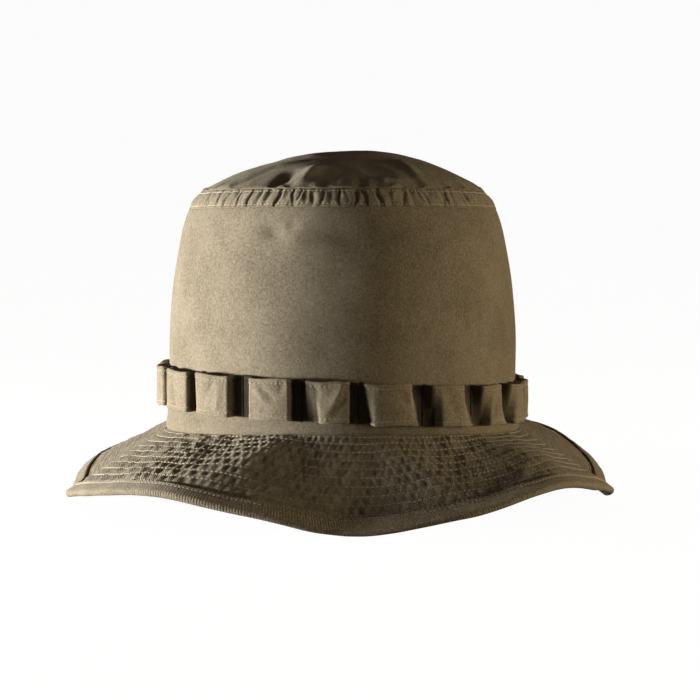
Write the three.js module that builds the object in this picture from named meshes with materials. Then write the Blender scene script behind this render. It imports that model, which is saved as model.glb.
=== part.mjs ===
// A cotton boonie hat that rests on its brim: a domed top panel, a tall side wall, a gathered strip over
// the seam between them, a self-cloth band with a strap of loops sewn round it, and a stitched wavy brim
// whose edge is folded in a binding. Every piece is a thin cloth wall with a small gap to its neighbours.
// Millimetres, +Z up, front towards -Y, resting on z = 0 with the origin in the middle of its outline.
import * as THREE from 'three';
import { mergeVertices } from 'three/addons/utils/BufferGeometryUtils.js';

// Crown
const CROWN_HALF_WIDTH = 90.6; // outside of the side wall at its foot, middle to side
const CROWN_HALF_LENGTH = 100; // the same, middle to front
const SEAM_HEIGHT = 40; // mean height of the seam between crown and brim
const SEAM_SADDLE = 3; // the seam is this much higher at front and back, and lower at the sides
const WALL_HEIGHT = 120.3; // from the mean seam up to the rim of the top panel
const DOME_HEIGHT = 21; // the top panel above its rim
const DOME_POWER = 2.1; // how full the dome is towards its rim
const DOME_SHIFT = 6.5; // its highest point lies this far to the right
const SIDE_THICKNESS = 1.6;
const TOP_THICKNESS = 1.5;
const GAP = 0.3; // between pieces that lie on each other

// How far the side wall leans in, by height as a share of the wall
const LEAN_IN = [[0, 0], [0.33, 0], [0.6, 1.8], [0.8, 5.6], [0.92, 10], [1, 16.7]];
const WALL_ROWS = [0.33, 0.6, 0.8];

// Soft dents in the top panel: place, radius and depth, and a swelling has a negative depth
const TOP_DENTS = [
  { x: 14, y: -46, radius: 34, depth: 2.6 },
  { x: -36, y: -52, radius: 15, depth: 2.2 },
  { x: -24, y: -58, radius: 10, depth: -1.2 },
];

// Gathered strip over the top seam
const STRIP_HEIGHT = 9.6;
const STRIP_THICKNESS = 1;

// Band and the strap of loops on it
const BAND_THICKNESS = 1.1;
const BAND_FOOT_SWELL = 0.6; // its rolled lower edge stands this much prouder
const BAND_FOOT_HEIGHT = 5; // height of that rolled edge
const STRAP_HEIGHT = 20;
const STRAP_THICKNESS = 1;
const STRAP_RISE = 17.5; // from the brim's seam up to the strap's middle line
const STRAP_SADDLE = 0.8; // higher at front and back
const STRAP_TILT = 4.1; // higher on the left, lower on the right
const LOOP_ROOM = 4.4; // clear depth inside a loop at front, back and sides
const LOOP_ROOM_CORNER = 1.9; // more of it towards the oval's four corners
const LOOP_WALL_SLANT = 1; // a loop's front is this much narrower at each side than its foot
const LOOP_HALF_TURN = 6.9; // half of a plain loop's front, in degrees round the oval
const LOOP_COUNT = 20;
// Loops that differ, one after another from the left: the two sides at the top, then at the foot
const SHAPED_LOOPS = [
  [-64.5, -50.8, -64.5, -50.8],
  [-47.4, -33.2, -46.8, -33.2],
  [-27.7, -14.3, -27.7, -14.3],
  [-10.9, 2.5, -6.9, 2.2],
  [5.8, 20.4, 8.2, 22.6],
  [24.6, 37.2, 28.2, 41.1],
  [42.6, 53, 46.6, 56.4],
  [57.2, 69.4, 61, 73.2],
];

// Brim
const BRIM_WIDTH = 60.5; // from the seam to the folded edge, along the cloth, at front, back and sides
const BRIM_CORNER = 4; // it is this much wider at the oval's four corners
const BRIM_SHIFT = 1.8; // the brim's edge lies this much to the left of the crown's middle
const BRIM_THICKNESS = 2; // two plies sewn together
const BRIM_BULGE = 1.2; // how much the brim bows up halfway out
const BRIM_BEND = 4; // width of the bend where it turns down from under the crown's wall
const WAVE_TWIST = 14; // degrees that the waves turn towards the front as they run out
const BINDING_WIDTH = 8;
const BINDING_THICKNESS = 0.9;
const BINDING_PRESSED = 1.2; // width of the fold that is flattened where the hat rests
// The brim's wavy edge: height above the table by degrees round the oval, from the front to the right
const EDGE_WAVES = [
  [-180, -1.5], [-142, 17], [-125, 13.5], [-112, 11.5], [-102, 7.5], [-88, -1.5], [-75, 5], [-50, 13],
  [-34, 17], [-17, 10], [3, -1.2], [24, 10.2], [43, 19.3], [56, 13.8], [71, 7], [87, -1.5],
  [100, 6.5], [112, 12.5], [137, 24.5],
];

// Fineness of the faceted walls
const STATIONS = 72; // points round the oval
const BRIM_ROWS = 4; // rows of facets between the seam and the binding
const DOME_ROWS = [0, 0.3, 0.58, 0.8, 0.93, 1];

const STRIP_LOW = WALL_HEIGHT - STRIP_HEIGHT;
const BAND_OUT = GAP + BAND_THICKNESS; // the band's outer face, off the crown
const RIM_INSET = LEAN_IN[LEAN_IN.length - 1][1];

const radians = THREE.MathUtils.degToRad;

// Height or inset along a curve of knots that has no overshoot; a period makes it a closed wave
function smoothCurve(knots, at, period = 0) {
  const count = knots.length;
  const x = (i) => knots[((i % count) + count) % count][0] + period * Math.floor(i / count);
  const y = (i) => knots[((i % count) + count) % count][1];
  const last = period ? count : count - 1;
  let place = at;
  if (period) place = x(0) + THREE.MathUtils.euclideanModulo(at - x(0), period);
  let k = 0;
  while (k < last - 1 && place > x(k + 1)) k += 1;
  const rise = (i) => (y(i + 1) - y(i)) / (x(i + 1) - x(i));
  const slope = (i) => {
    if (!period && (i === 0 || i === count - 1)) return i === 0 ? rise(0) : rise(count - 2);
    const before = rise(i - 1);
    const after = rise(i);
    return before * after > 0 ? (2 * before * after) / (before + after) : 0;
  };
  const width = x(k + 1) - x(k);
  const u = THREE.MathUtils.clamp((place - x(k)) / width, 0, 1);
  const hermite = [
    (1 + 2 * u) * (1 - u) * (1 - u) * y(k),
    u * (1 - u) * (1 - u) * width * slope(k),
    u * u * (3 - 2 * u) * y(k + 1),
    u * u * (u - 1) * width * slope(k + 1),
  ];
  return hermite.reduce((sum, term) => sum + term, 0);
}

// The oval: a point at a turn in degrees (0 in front, 90 on the right), stood off by so many millimetres
function ovalPoint(turn, off, z) {
  const t = radians(turn);
  const normal = new THREE.Vector2(
    CROWN_HALF_LENGTH * Math.sin(t),
    -CROWN_HALF_WIDTH * Math.cos(t),
  ).normalize();
  return new THREE.Vector3(
    CROWN_HALF_WIDTH * Math.sin(t) + off * normal.x,
    -CROWN_HALF_LENGTH * Math.cos(t) + off * normal.y,
    z,
  );
}

// Millimetres along the oval for each degree of turn
function ovalPace(turn, off) {
  return ovalPoint(turn - 0.5, off, 0).distanceTo(ovalPoint(turn + 0.5, off, 0));
}

// A solid swept through sections, each a loop of points in the same order; an open run gets end faces
function sweep(sections, closed) {
  const size = sections[0].length;
  const points = sections.flat();
  const faces = [];
  const spans = closed ? sections.length : sections.length - 1;
  for (let i = 0; i < spans; i += 1) {
    const here = i * size;
    const next = ((i + 1) % sections.length) * size;
    for (let j = 0; j < size; j += 1) {
      const k = (j + 1) % size;
      faces.push([here + j, next + j, next + k], [here + j, next + k, here + k]);
    }
  }
  if (!closed) {
    const end = points.length - size;
    for (let j = 1; j < size - 1; j += 1) {
      faces.push([0, j, j + 1], [end, end + j + 1, end + j]);
    }
  }
  return solid(points, faces);
}

// A closed geometry from points and faces: shared corners merged, flat slivers dropped, faces outwards
function solid(points, faces) {
  let geometry = new THREE.BufferGeometry().setFromPoints(points);
  geometry.setIndex(faces.flat());
  geometry = mergeVertices(geometry, 1e-4);
  const index = [...geometry.index.array];
  const position = geometry.getAttribute('position');
  const corner = (i) => new THREE.Vector3().fromBufferAttribute(position, i);
  const kept = [];
  let volume = 0;
  for (let i = 0; i < index.length; i += 3) {
    const [a, b, c] = index.slice(i, i + 3);
    if (a === b || b === c || c === a) continue;
    kept.push([a, b, c]);
    volume += corner(a).dot(corner(b).cross(corner(c)));
  }
  geometry.setIndex(kept.map((face) => (volume > 0 ? face : [face[0], face[2], face[1]])).flat());
  geometry.computeVertexNormals();
  return geometry;
}

// A ring solid from a section that is a function of the turn
function ring(sectionAt) {
  const turns = Array.from({ length: STATIONS }, (_, i) => (360 / STATIONS) * i);
  return sweep(turns.map(sectionAt), true);
}

const seamHeight = (turn) => SEAM_HEIGHT + SEAM_SADDLE * Math.cos(radians(2 * turn));

// The crown's outer face: share 0 is the seam with the brim and 1 the rim of the top panel
function crownPoint(turn, share, sunk) {
  const low = seamHeight(turn);
  const z = low + share * (SEAM_HEIGHT + WALL_HEIGHT - low);
  return ovalPoint(turn, -smoothCurve(LEAN_IN, share) - sunk, z);
}

// The side wall: full thickness up to the gathered strip, and stepped in to run up under it
function crownSide() {
  const foot = (BRIM_THICKNESS / 2 + GAP) / WALL_HEIGHT;
  const step = STRIP_LOW / WALL_HEIGHT;
  const rim = 1 - 2 * GAP / WALL_HEIGHT;
  const under = STRIP_THICKNESS + GAP;
  return ring((turn) => {
    const outer = [foot, ...WALL_ROWS, step - 0.004].map((share) => crownPoint(turn, share, 0));
    outer.push(crownPoint(turn, step, under), crownPoint(turn, rim, under));
    const inner = [rim, step, ...WALL_ROWS.toReversed()].map(
      (share) => crownPoint(turn, share, share < step ? SIDE_THICKNESS : under + SIDE_THICKNESS),
    );
    inner.push(crownPoint(turn, foot, SIDE_THICKNESS));
    return [...outer, ...inner];
  });
}

// The gathered strip over the top of the side wall
function seamStrip() {
  const low = STRIP_LOW / WALL_HEIGHT + 0.004;
  const shares = [low, (low + 1) / 2, 1 - 2 * GAP / WALL_HEIGHT];
  return ring((turn) => [
    ...shares.map((share) => crownPoint(turn, share, 0)),
    ...shares.toReversed().map((share) => crownPoint(turn, share, STRIP_THICKNESS)),
  ]);
}

// Depth of the soft dents at a place on the top panel
function dentAt(x, y) {
  return TOP_DENTS.reduce((sum, dent) => {
    const away = Math.hypot(x - dent.x, y - dent.y) / dent.radius;
    return sum + dent.depth * Math.exp(-2 * away * away);
  }, 0);
}

// The domed top panel, its rim standing on the side wall and the strip
function topPoint(turn, share, thickness) {
  const rimZ = SEAM_HEIGHT + WALL_HEIGHT + GAP;
  const rim = ovalPoint(turn, -RIM_INSET - thickness * share, 0);
  const x = rim.x * share + DOME_SHIFT * (1 - share);
  const y = rim.y * share;
  const sag = dentAt(x, y) * (1 - share ** 4);
  const z = rimZ + (DOME_HEIGHT - thickness) * (1 - share ** DOME_POWER) - sag;
  return new THREE.Vector3(x, y, share === 1 ? rimZ : z);
}

function crownTop() {
  return ring((turn) => [
    ...DOME_ROWS.map((share) => topPoint(turn, share, 0)),
    ...DOME_ROWS.toReversed().map((share) => topPoint(turn, share, TOP_THICKNESS)),
  ]);
}

const strapCentre = (turn) => SEAM_HEIGHT + STRAP_RISE
  + STRAP_SADDLE * Math.cos(radians(2 * turn)) - STRAP_TILT * Math.sin(radians(turn));

// The band round the foot of the crown, from the brim up to the top of the strap
function hatBand() {
  return ring((turn) => {
    const low = seamHeight(turn) + BRIM_THICKNESS / 2 + 2 * GAP;
    const high = strapCentre(turn) + STRAP_HEIGHT / 2 - 2 * GAP;
    const rolled = Math.min(low + BAND_FOOT_HEIGHT, high - STRAP_HEIGHT);
    return [
      ovalPoint(turn, BAND_OUT, low),
      ovalPoint(turn, BAND_OUT + BAND_FOOT_SWELL, low + (rolled - low) / 3),
      ovalPoint(turn, BAND_OUT, rolled),
      ovalPoint(turn, BAND_OUT, high),
      ovalPoint(turn, GAP, high),
      ovalPoint(turn, GAP, low),
    ];
  });
}

// The sides of every loop round the oval: the shaped ones, then plain ones evenly over what is left
function loopSides() {
  const shaped = SHAPED_LOOPS.map(([a, b, c, d]) => ({ top: [a, b], foot: [c, d] }));
  const middle = (loop) => (loop.top[0] + loop.top[1] + loop.foot[0] + loop.foot[1]) / 4;
  const first = middle(shaped[0]) + 360;
  const last = middle(shaped[shaped.length - 1]);
  const plain = LOOP_COUNT - shaped.length;
  for (let i = 1; i <= plain; i += 1) {
    const centre = last + ((first - last) * i) / (plain + 1);
    const sides = [centre - LOOP_HALF_TURN, centre + LOOP_HALF_TURN];
    shaped.push({ top: sides, foot: sides });
  }
  return shaped;
}

// One loop of the strap: a foot on the band, a side, the front, the other side and a foot
function strapLoop(loop, before, after) {
  const tackLeft = (loop.top[0] + loop.foot[0] + before.top[1] + before.foot[1]) / 4;
  const tackRight = (loop.top[1] + loop.foot[1] + after.top[0] + after.foot[0]) / 4;
  const middle = (loop.top[0] + loop.top[1]) / 2;
  const corner = Math.sqrt(Math.abs(Math.sin(radians(2 * middle))));
  const inside = BAND_OUT + GAP;
  const stand = inside + LOOP_ROOM + LOOP_ROOM_CORNER * corner;
  const pace = ovalPace(middle, stand);
  const slant = LOOP_WALL_SLANT / pace;
  const wall = STRAP_THICKNESS / pace;
  const gap = GAP / pace / 2;
  // Turn and stand-off along the strap's inner face and its outer face, for one level of the loop
  const path = ([left, right]) => {
    const quarter = (right - left) / 4;
    const inner = [
      [tackLeft + gap, inside],
      [left + wall, inside],
      [left + wall + slant, stand],
      [left + 2 * quarter, stand],
      [right - wall - slant, stand],
      [right - wall, inside],
      [tackRight - gap, inside],
    ];
    const outer = [
      [tackLeft + gap, inside + STRAP_THICKNESS],
      [left, inside + STRAP_THICKNESS],
      [left + slant, stand + STRAP_THICKNESS],
      [left + 2 * quarter, stand + STRAP_THICKNESS],
      [right - slant, stand + STRAP_THICKNESS],
      [right, inside + STRAP_THICKNESS],
      [tackRight - gap, inside + STRAP_THICKNESS],
    ];
    return { inner, outer };
  };
  const top = path(loop.top);
  const foot = path(loop.foot);
  const place = ([turn, off], up) => ovalPoint(turn, off, strapCentre(turn) + (up * STRAP_HEIGHT) / 2);
  return sweep(top.inner.map((_, i) => [
    place(foot.inner[i], -1),
    place(foot.outer[i], -1),
    place(top.outer[i], 1),
    place(top.inner[i], 1),
  ]), false);
}

// The middle of the brim's cloth, so far out from the seam along the cloth
function brimMiddle(turn, out) {
  const share = out / BRIM_WIDTH;
  const twist = WAVE_TWIST * (1 - share) * Math.sin(radians(2 * turn));
  const half = BRIM_THICKNESS / 2 + GAP + BINDING_THICKNESS;
  const low = Math.max(0, smoothCurve(EDGE_WAVES, turn - twist, 360));
  const drop = seamHeight(turn) - low - half * 0.75;
  const width = BRIM_WIDTH + BRIM_CORNER * Math.sin(radians(2 * turn)) ** 2;
  const reach = Math.sqrt(width ** 2 - drop ** 2);
  const bow = BRIM_BULGE * Math.sin(Math.PI * share);
  const point = ovalPoint(turn, reach * share, seamHeight(turn) - drop * share + bow);
  point.x -= BRIM_SHIFT * share;
  return point;
}

// A point that stands so far off the middle of the brim's cloth, above it or below it
function brimPoint(turn, out, above) {
  const step = 0.5;
  const across = brimMiddle(turn, out + step).sub(brimMiddle(turn, out - step));
  const along = brimMiddle(turn + step, out).sub(brimMiddle(turn - step, out));
  const normal = along.cross(across).normalize();
  if (normal.z < 0) normal.negate();
  return brimMiddle(turn, out).addScaledVector(normal, above);
}

// The two plies of the brim, from under the crown's wall out into the binding
function brim() {
  const end = BRIM_WIDTH - BINDING_THICKNESS - GAP;
  const start = BRIM_BEND;
  const last = BRIM_WIDTH - BINDING_WIDTH;
  const rows = Array.from({ length: BRIM_ROWS + 1 }, (_, i) => start + ((last - start) * i) / BRIM_ROWS);
  rows.push(end);
  const half = BRIM_THICKNESS / 2;
  return ring((turn) => {
    const lip = (off, above) => ovalPoint(turn, off, seamHeight(turn) + above);
    return [
      lip(-SIDE_THICKNESS, half),
      lip(0, half),
      ...rows.map((out) => brimPoint(turn, out, half)),
      ...rows.toReversed().map((out) => brimPoint(turn, out, -half)),
      lip(-SIDE_THICKNESS, -half),
    ];
  });
}

// The tape folded round the brim's edge, pressed flat where it meets the table
function brimBinding() {
  const inside = BRIM_THICKNESS / 2 + GAP;
  const outside = inside + BINDING_THICKNESS;
  const start = BRIM_WIDTH - BINDING_WIDTH;
  const fold = BRIM_WIDTH - BINDING_THICKNESS;
  return ring((turn) => {
    const edge = brimPoint(turn, BRIM_WIDTH, -outside);
    const pressed = brimPoint(turn, BRIM_WIDTH - BINDING_PRESSED, -outside);
    if (smoothCurve(EDGE_WAVES, turn, 360) <= 0) {
      edge.z = 0;
      pressed.z = 0;
    }
    return [
      brimPoint(turn, start, inside),
      brimPoint(turn, fold, inside),
      brimPoint(turn, fold, -inside),
      brimPoint(turn, start, -inside),
      brimPoint(turn, start, -outside),
      pressed,
      edge,
      brimPoint(turn, BRIM_WIDTH, outside),
      brimPoint(turn, start, outside),
    ];
  });
}

// A cloth piece as a named mesh
function piece(name, geometry, color) {
  const material = new THREE.MeshStandardMaterial({ color, roughness: 0.9, metalness: 0 });
  const mesh = new THREE.Mesh(geometry, material);
  mesh.name = name;
  return mesh;
}

const hat = new THREE.Group();
hat.add(piece('crown_top', crownTop(), '#75654a'));
hat.add(piece('crown_side', crownSide(), '#84745a'));
hat.add(piece('crown_seam_strip', seamStrip(), '#8a7a5e'));
hat.add(piece('hat_band', hatBand(), '#807054'));
hat.add(piece('brim', brim(), '#6f6046'));
hat.add(piece('brim_binding', brimBinding(), '#6a5b42'));

const loops = loopSides();
loops.forEach((loop, i) => {
  const turned = (other, by) => ({
    top: other.top.map((side) => side + by),
    foot: other.foot.map((side) => side + by),
  });
  const before = i > 0 ? loops[i - 1] : turned(loops[loops.length - 1], -360);
  const after = i < loops.length - 1 ? loops[i + 1] : turned(loops[0], 360);
  const name = `strap_loop_${String(i + 1).padStart(2, '0')}`;
  hat.add(piece(name, strapLoop(loop, before, after), '#7e6d51'));
});

// The origin goes in the middle of the whole outline, on the table
const outline = new THREE.Box3().setFromObject(hat);
const centre = outline.getCenter(new THREE.Vector3());
hat.position.set(-centre.x, -centre.y, -outline.min.z);

export default hat;
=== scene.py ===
"""A washed cotton boonie hat: every packed cloth solid gets a stitched, puckered cloth piece in its place.

Each cloth piece is a grid bent along the hat's own oval and given two faces, so it is a closed thin wall.
Lengths are in millimetres until a mesh is written, which is in metres. A turn is in degrees round the
oval: 0 is the front, -90 the left and 90 the right of someone who looks at the front.
"""
import logging
import math
from abc import ABC, abstractmethod
from contextlib import contextmanager
from dataclasses import dataclass, field
from enum import Enum
from typing import Callable, Iterable, Iterator

import bmesh
import bpy
import numpy as np
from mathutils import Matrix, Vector


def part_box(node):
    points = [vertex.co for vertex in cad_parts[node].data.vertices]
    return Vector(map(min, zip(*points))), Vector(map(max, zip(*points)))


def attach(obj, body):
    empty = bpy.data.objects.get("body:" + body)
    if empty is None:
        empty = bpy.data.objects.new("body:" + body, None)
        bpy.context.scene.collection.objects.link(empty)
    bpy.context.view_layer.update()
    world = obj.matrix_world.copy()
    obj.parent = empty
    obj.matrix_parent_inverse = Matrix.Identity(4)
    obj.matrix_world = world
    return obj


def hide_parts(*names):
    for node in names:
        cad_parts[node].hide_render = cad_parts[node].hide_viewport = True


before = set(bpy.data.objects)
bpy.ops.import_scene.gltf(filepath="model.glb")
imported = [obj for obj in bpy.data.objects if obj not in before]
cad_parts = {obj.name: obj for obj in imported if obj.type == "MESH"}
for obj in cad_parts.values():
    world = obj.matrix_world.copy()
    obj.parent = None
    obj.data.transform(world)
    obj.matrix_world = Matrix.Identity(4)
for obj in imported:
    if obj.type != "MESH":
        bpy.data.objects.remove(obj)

LOG = logging.getLogger("boonie_hat")
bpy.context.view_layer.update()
MM = 0.001
SEWN_GAP = 2e-6
CLOTH_UV = "cloth"
# The relief attribute: how far the cloth stands out of its sheet; the finishes paint highlight on its highs
# and shade in its lows
RELIEF = "relief"
BODY = "root"
WHITE = (1, 1, 1, 1)
# An uneven slant that gives each place in a mesh its own rank
SORTING = Vector((1.0, 0.618, 0.317))
# How much longer than the crown's oval the ring along the brim's middle and its edge is, in millimetres
MID_BRIM, BRIM_EDGE = 200.0, 370.0

Array = np.ndarray
Colour = tuple[float, float, float]
Place = Callable[[Array, Array], tuple[Array, Array]]


class Slot(Enum):
    """The record's material slots."""

    CROWN = "crown_cloth"
    GATHERED = "gathered_cloth"
    BAND = "band_cloth"
    STRAP = "strap_cloth"
    BRIM = "brim_cloth"
    BINDING = "binding_cloth"


# ---------------------------------------------------------------- curves, noise and the hat's own form


@dataclass(frozen=True)
class KnotCurve:
    """A smooth curve through knots that never overshoots them; with a period it closes on itself."""

    knots: tuple[tuple[float, float], ...]
    period: float = 0.0
    soften: float = 0.0

    def _through(self, place: Array) -> Array:
        """The curve's height at each place, through the knots themselves."""
        x, y = (np.array(part, float) for part in zip(*self.knots))
        if self.period:
            place = (place - x[0]) % self.period + x[0]
            x = np.concatenate([[x[-1] - self.period], x, [x[0] + self.period, x[1] + self.period]])
            y = np.concatenate([[y[-1]], y, y[:2]])
        rise = np.diff(y) / np.diff(x)
        both = rise[:-1] * rise[1:]
        total = np.where(both > 0, rise[:-1] + rise[1:], 1.0)
        slope = np.concatenate([[rise[0]], np.where(both > 0, 2 * both / total, 0.0), [rise[-1]]])
        k = np.clip(np.searchsorted(x, place, side="right") - 1, 0, len(x) - 2)
        wide = x[k + 1] - x[k]
        u = np.clip((place - x[k]) / wide, 0, 1)
        here = (1 + 2 * u) * (1 - u) ** 2 * y[k] + u * (1 - u) ** 2 * wide * slope[k]
        return here + u * u * (3 - 2 * u) * y[k + 1] + u * u * (u - 1) * wide * slope[k + 1]

    def at(self, place: Array) -> Array:
        """The curve's height at each place, softened by averaging over a few of the places near it."""
        if not self.soften:
            return self._through(np.asarray(place, float))
        steps = np.linspace(-2, 2, 9)
        weights = np.exp(-0.5 * steps**2)
        heights = (w * self._through(place + s * self.soften) for w, s in zip(weights, steps))
        return sum(heights) / weights.sum()


class ClothNoise:
    """Seeded smooth noise from -1 to 1 on cloth that closes on itself round the hat."""

    def __init__(self, seed: int) -> None:
        """Draws the random heights once, from the seed."""
        self.heights = np.random.default_rng(seed).uniform(-1, 1, (97, 611))

    def at(self, across: Array, up: Array, closes_at: float = 0.0) -> Array:
        """Noise at places counted in cells.

        Args:
            across: the place round the hat, in cells.
            up: the place up or out along the cloth, in cells.
            closes_at: the number of cells after which it repeats round the hat, or 0.

        Returns:
            A height from -1 to 1 for each place.
        """
        across, up = np.broadcast_arrays(np.asarray(across, float), np.asarray(up, float))
        col, row = np.floor(across).astype(int), np.floor(up).astype(int)
        fx, fy = across - col, up - row
        fx, fy = fx * fx * (3 - 2 * fx), fy * fy * (3 - 2 * fy)
        width = int(round(closes_at)) or self.heights.shape[1]

        def corner(c: Array, r: Array) -> Array:
            """The height at a cell's corner."""
            return self.heights[r % self.heights.shape[0], (c % width) % self.heights.shape[1]]

        low = corner(col, row) * (1 - fx) + corner(col + 1, row) * fx
        high = corner(col, row + 1) * (1 - fx) + corner(col + 1, row + 1) * fx
        return low * (1 - fy) + high * fy


@dataclass(frozen=True)
class HatForm:
    """The hat's own curves: the crown's oval, the heights along it, and the brim's waves."""

    half_width: float = 90.6
    half_length: float = 100.0
    seam_height: float = 40.0
    seam_saddle: float = 3.0
    wall_height: float = 120.3
    strip_height: float = 9.6
    brim_width: float = 60.5
    brim_corner: float = 4.0
    brim_shift: float = 1.8
    brim_bulge: float = 1.2
    wave_twist: float = 14.0
    edge_half: float = 2.2
    lip: float = 1.6
    bend: float = 3.0
    bend_rise: float = 0.5
    strap_centre: float = 57.5
    strap_saddle: float = 0.8
    strap_tilt: float = 4.1
    strap_height: float = 20.0
    lean_in: KnotCurve = KnotCurve(((0, 0), (0.33, 0), (0.6, 1.8), (0.8, 5.6), (0.92, 10), (1, 16.7)))
    edge_waves: KnotCurve = KnotCurve(
        (
            (-180, -0.1), (-142, 17), (-125, 13.5), (-112, 10.5), (-102, 6.5), (-88, 1.4), (-75, 4),
            (-50, 13), (-34, 17), (-17, 10), (3, -0.1), (24, 8.2), (43, 18.6), (56, 13.8), (71, 7),
            (87, 1.2), (100, 6.5), (112, 12.5), (137, 24.5),
        ),
        period=360.0,
        soften=0.9,
    )  # fmt: skip
    # The crown's middle in plan
    axis: tuple[float, float] = (0.0, 0.0)

    def oval(self, turn: Array, off: Array, z: Array) -> Array:
        """Points on the oval at these turns, stood off so far and at these heights."""
        t = np.radians(turn)
        nx, ny = self.half_length * np.sin(t), -self.half_width * np.cos(t)
        long = np.hypot(nx, ny)
        cx, cy = self.axis
        x = cx + self.half_width * np.sin(t) + off * nx / long
        y = cy - self.half_length * np.cos(t) + off * ny / long
        return np.stack([x, y, z + 0 * t], -1)

    def along(self, turn: Array) -> Array:
        """Millimetres along the crown's oval from the front to each turn."""
        grid = np.linspace(-540, 540, 4321)
        points = self.oval(grid, 0, 0)
        steps = np.linalg.norm(np.diff(points, axis=0), axis=1)
        length = np.concatenate([[0], np.cumsum(steps)])
        return np.interp(turn, grid, length - np.interp(0, grid, length))

    @property
    def girth(self) -> float:
        """The length of the oval at the crown's foot."""
        return float(self.along(180.0) - self.along(-180.0))

    @property
    def strip_foot(self) -> float:
        """The gathered strip's lower edge, as a share of the wall's height."""
        return 1 - self.strip_height / self.wall_height

    def gap(self, along: Array, place: Array) -> Array:
        """The signed way round the oval from a place to another, on the shorter side."""
        return (along - place + self.girth / 2) % self.girth - self.girth / 2

    def seam(self, turn: Array) -> Array:
        """The height of the seam between crown and brim."""
        return self.seam_height + self.seam_saddle * np.cos(np.radians(2 * np.asarray(turn)))

    def strap_middle(self, turn: Array) -> Array:
        """The height of the strap's middle line."""
        t = np.radians(turn)
        return self.strap_centre + self.strap_saddle * np.cos(2 * t) - self.strap_tilt * np.sin(t)

    def wall(self, turn: Array, share: Array, off: Array) -> Array:
        """The crown's wall, stood off so far: share 0 is at the brim's seam and 1 at the top's rim."""
        low = self.seam(turn)
        z = low + share * (self.seam_height + self.wall_height - low)
        return self.oval(turn, off - self.lean_in.at(share), z)

    def brim(self, turn: Array, out: Array) -> Array:
        """The middle of the brim's cloth, so far out from the seam along the cloth."""
        share = out / self.brim_width
        reach = self.bend + self.lip
        bent = self.bend - self.bend_rise * reach + self.bend_rise * (out + self.lip) ** 2 / reach
        fall = np.where(out < self.bend, bent, out) / self.brim_width
        corner = np.sin(np.radians(2 * turn))
        low = np.maximum(0, self.edge_waves.at(turn - self.wave_twist * (1 - share) * corner))
        drop = self.seam(turn) - low - self.edge_half * 0.75
        reach = np.sqrt((self.brim_width + self.brim_corner * corner**2) ** 2 - drop**2)
        z = self.seam(turn) - drop * fall + self.brim_bulge * np.sin(np.pi * np.maximum(share, 0))
        points = self.oval(turn, reach * share, z)
        points[..., 0] -= self.brim_shift * share
        return points


def crown_axis() -> tuple[float, float]:
    """The crown's middle in plan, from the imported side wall."""
    low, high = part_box("crown_side")
    return (low[0] + high[0]) / 2 / MM, (low[1] + high[1]) / 2 / MM


FORM = HatForm(axis=crown_axis())


def bump_at(gap: Array, width: float) -> Array:
    """A soft bump that is 1 where the gap is 0 and has nearly gone two widths away."""
    return np.exp(-((gap / width) ** 2))


def rounded(share: Array, height: float, radius: float, least: float) -> Array:
    """A factor that rounds a cloth's two edges: 1 from a radius in, and the root of least at the edge."""
    edge = np.minimum(share, 1 - share) * height
    return np.sqrt(np.clip(edge / radius, least, 1))


@dataclass(frozen=True)
class Ripple:
    """A layer of unevenness: its height, its cells' length round the hat, and how tall they are.

    Its noise begins at start, and it lies along a ring that is so much longer than the crown's oval.
    """

    height: float
    length: float
    tall: float
    start: float = 0.0
    longer: float = 0.0

    @property
    def cells(self) -> int:
        """Its whole number of cells round the hat."""
        return round((FORM.girth + self.longer) / self.length)

    def at(self, noise: ClothNoise, along: Array, up: Array, shift: Array | float = 0.0) -> Array:
        """Its height at shares of the way round the hat and so far up, shifted by a number of cells."""
        return self.height * noise.at(along * self.cells + shift, up / self.tall + self.start, self.cells)


@dataclass(frozen=True)
class Fold:
    """A straight soft ridge, or a valley if its height is negative, between two places on a flat cut."""

    start: tuple[float, float]
    end: tuple[float, float]
    width: float
    height: float

    def at(self, x: Array, y: Array) -> Array:
        """The fold's height at each place."""
        ax, ay = self.start
        dx, dy = self.end[0] - ax, self.end[1] - ay
        along = np.clip(((x - ax) * dx + (y - ay) * dy) / (dx * dx + dy * dy), 0, 1)
        gap = np.hypot(x - ax - along * dx, y - ay - along * dy)
        return self.height * bump_at(gap, self.width) * (0.35 + 0.65 * np.sin(np.pi * (0.1 + 0.8 * along)))


# ---------------------------------------------------------------- meshes


@contextmanager
def reworked(mesh: bpy.types.Mesh) -> Iterator[bmesh.types.BMesh]:
    """Opens a mesh to be reworked, and writes it back afterwards."""
    bm = bmesh.new()
    bm.from_mesh(mesh)
    yield bm
    bm.to_mesh(mesh)
    bm.free()


def mesh_points(mesh: bpy.types.Mesh) -> Array:
    """The mesh's points as rows of x, y and z."""
    flat = np.empty(len(mesh.vertices) * 3, np.float32)
    mesh.vertices.foreach_get("co", flat)
    return flat.reshape(-1, 3).astype(float)


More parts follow.
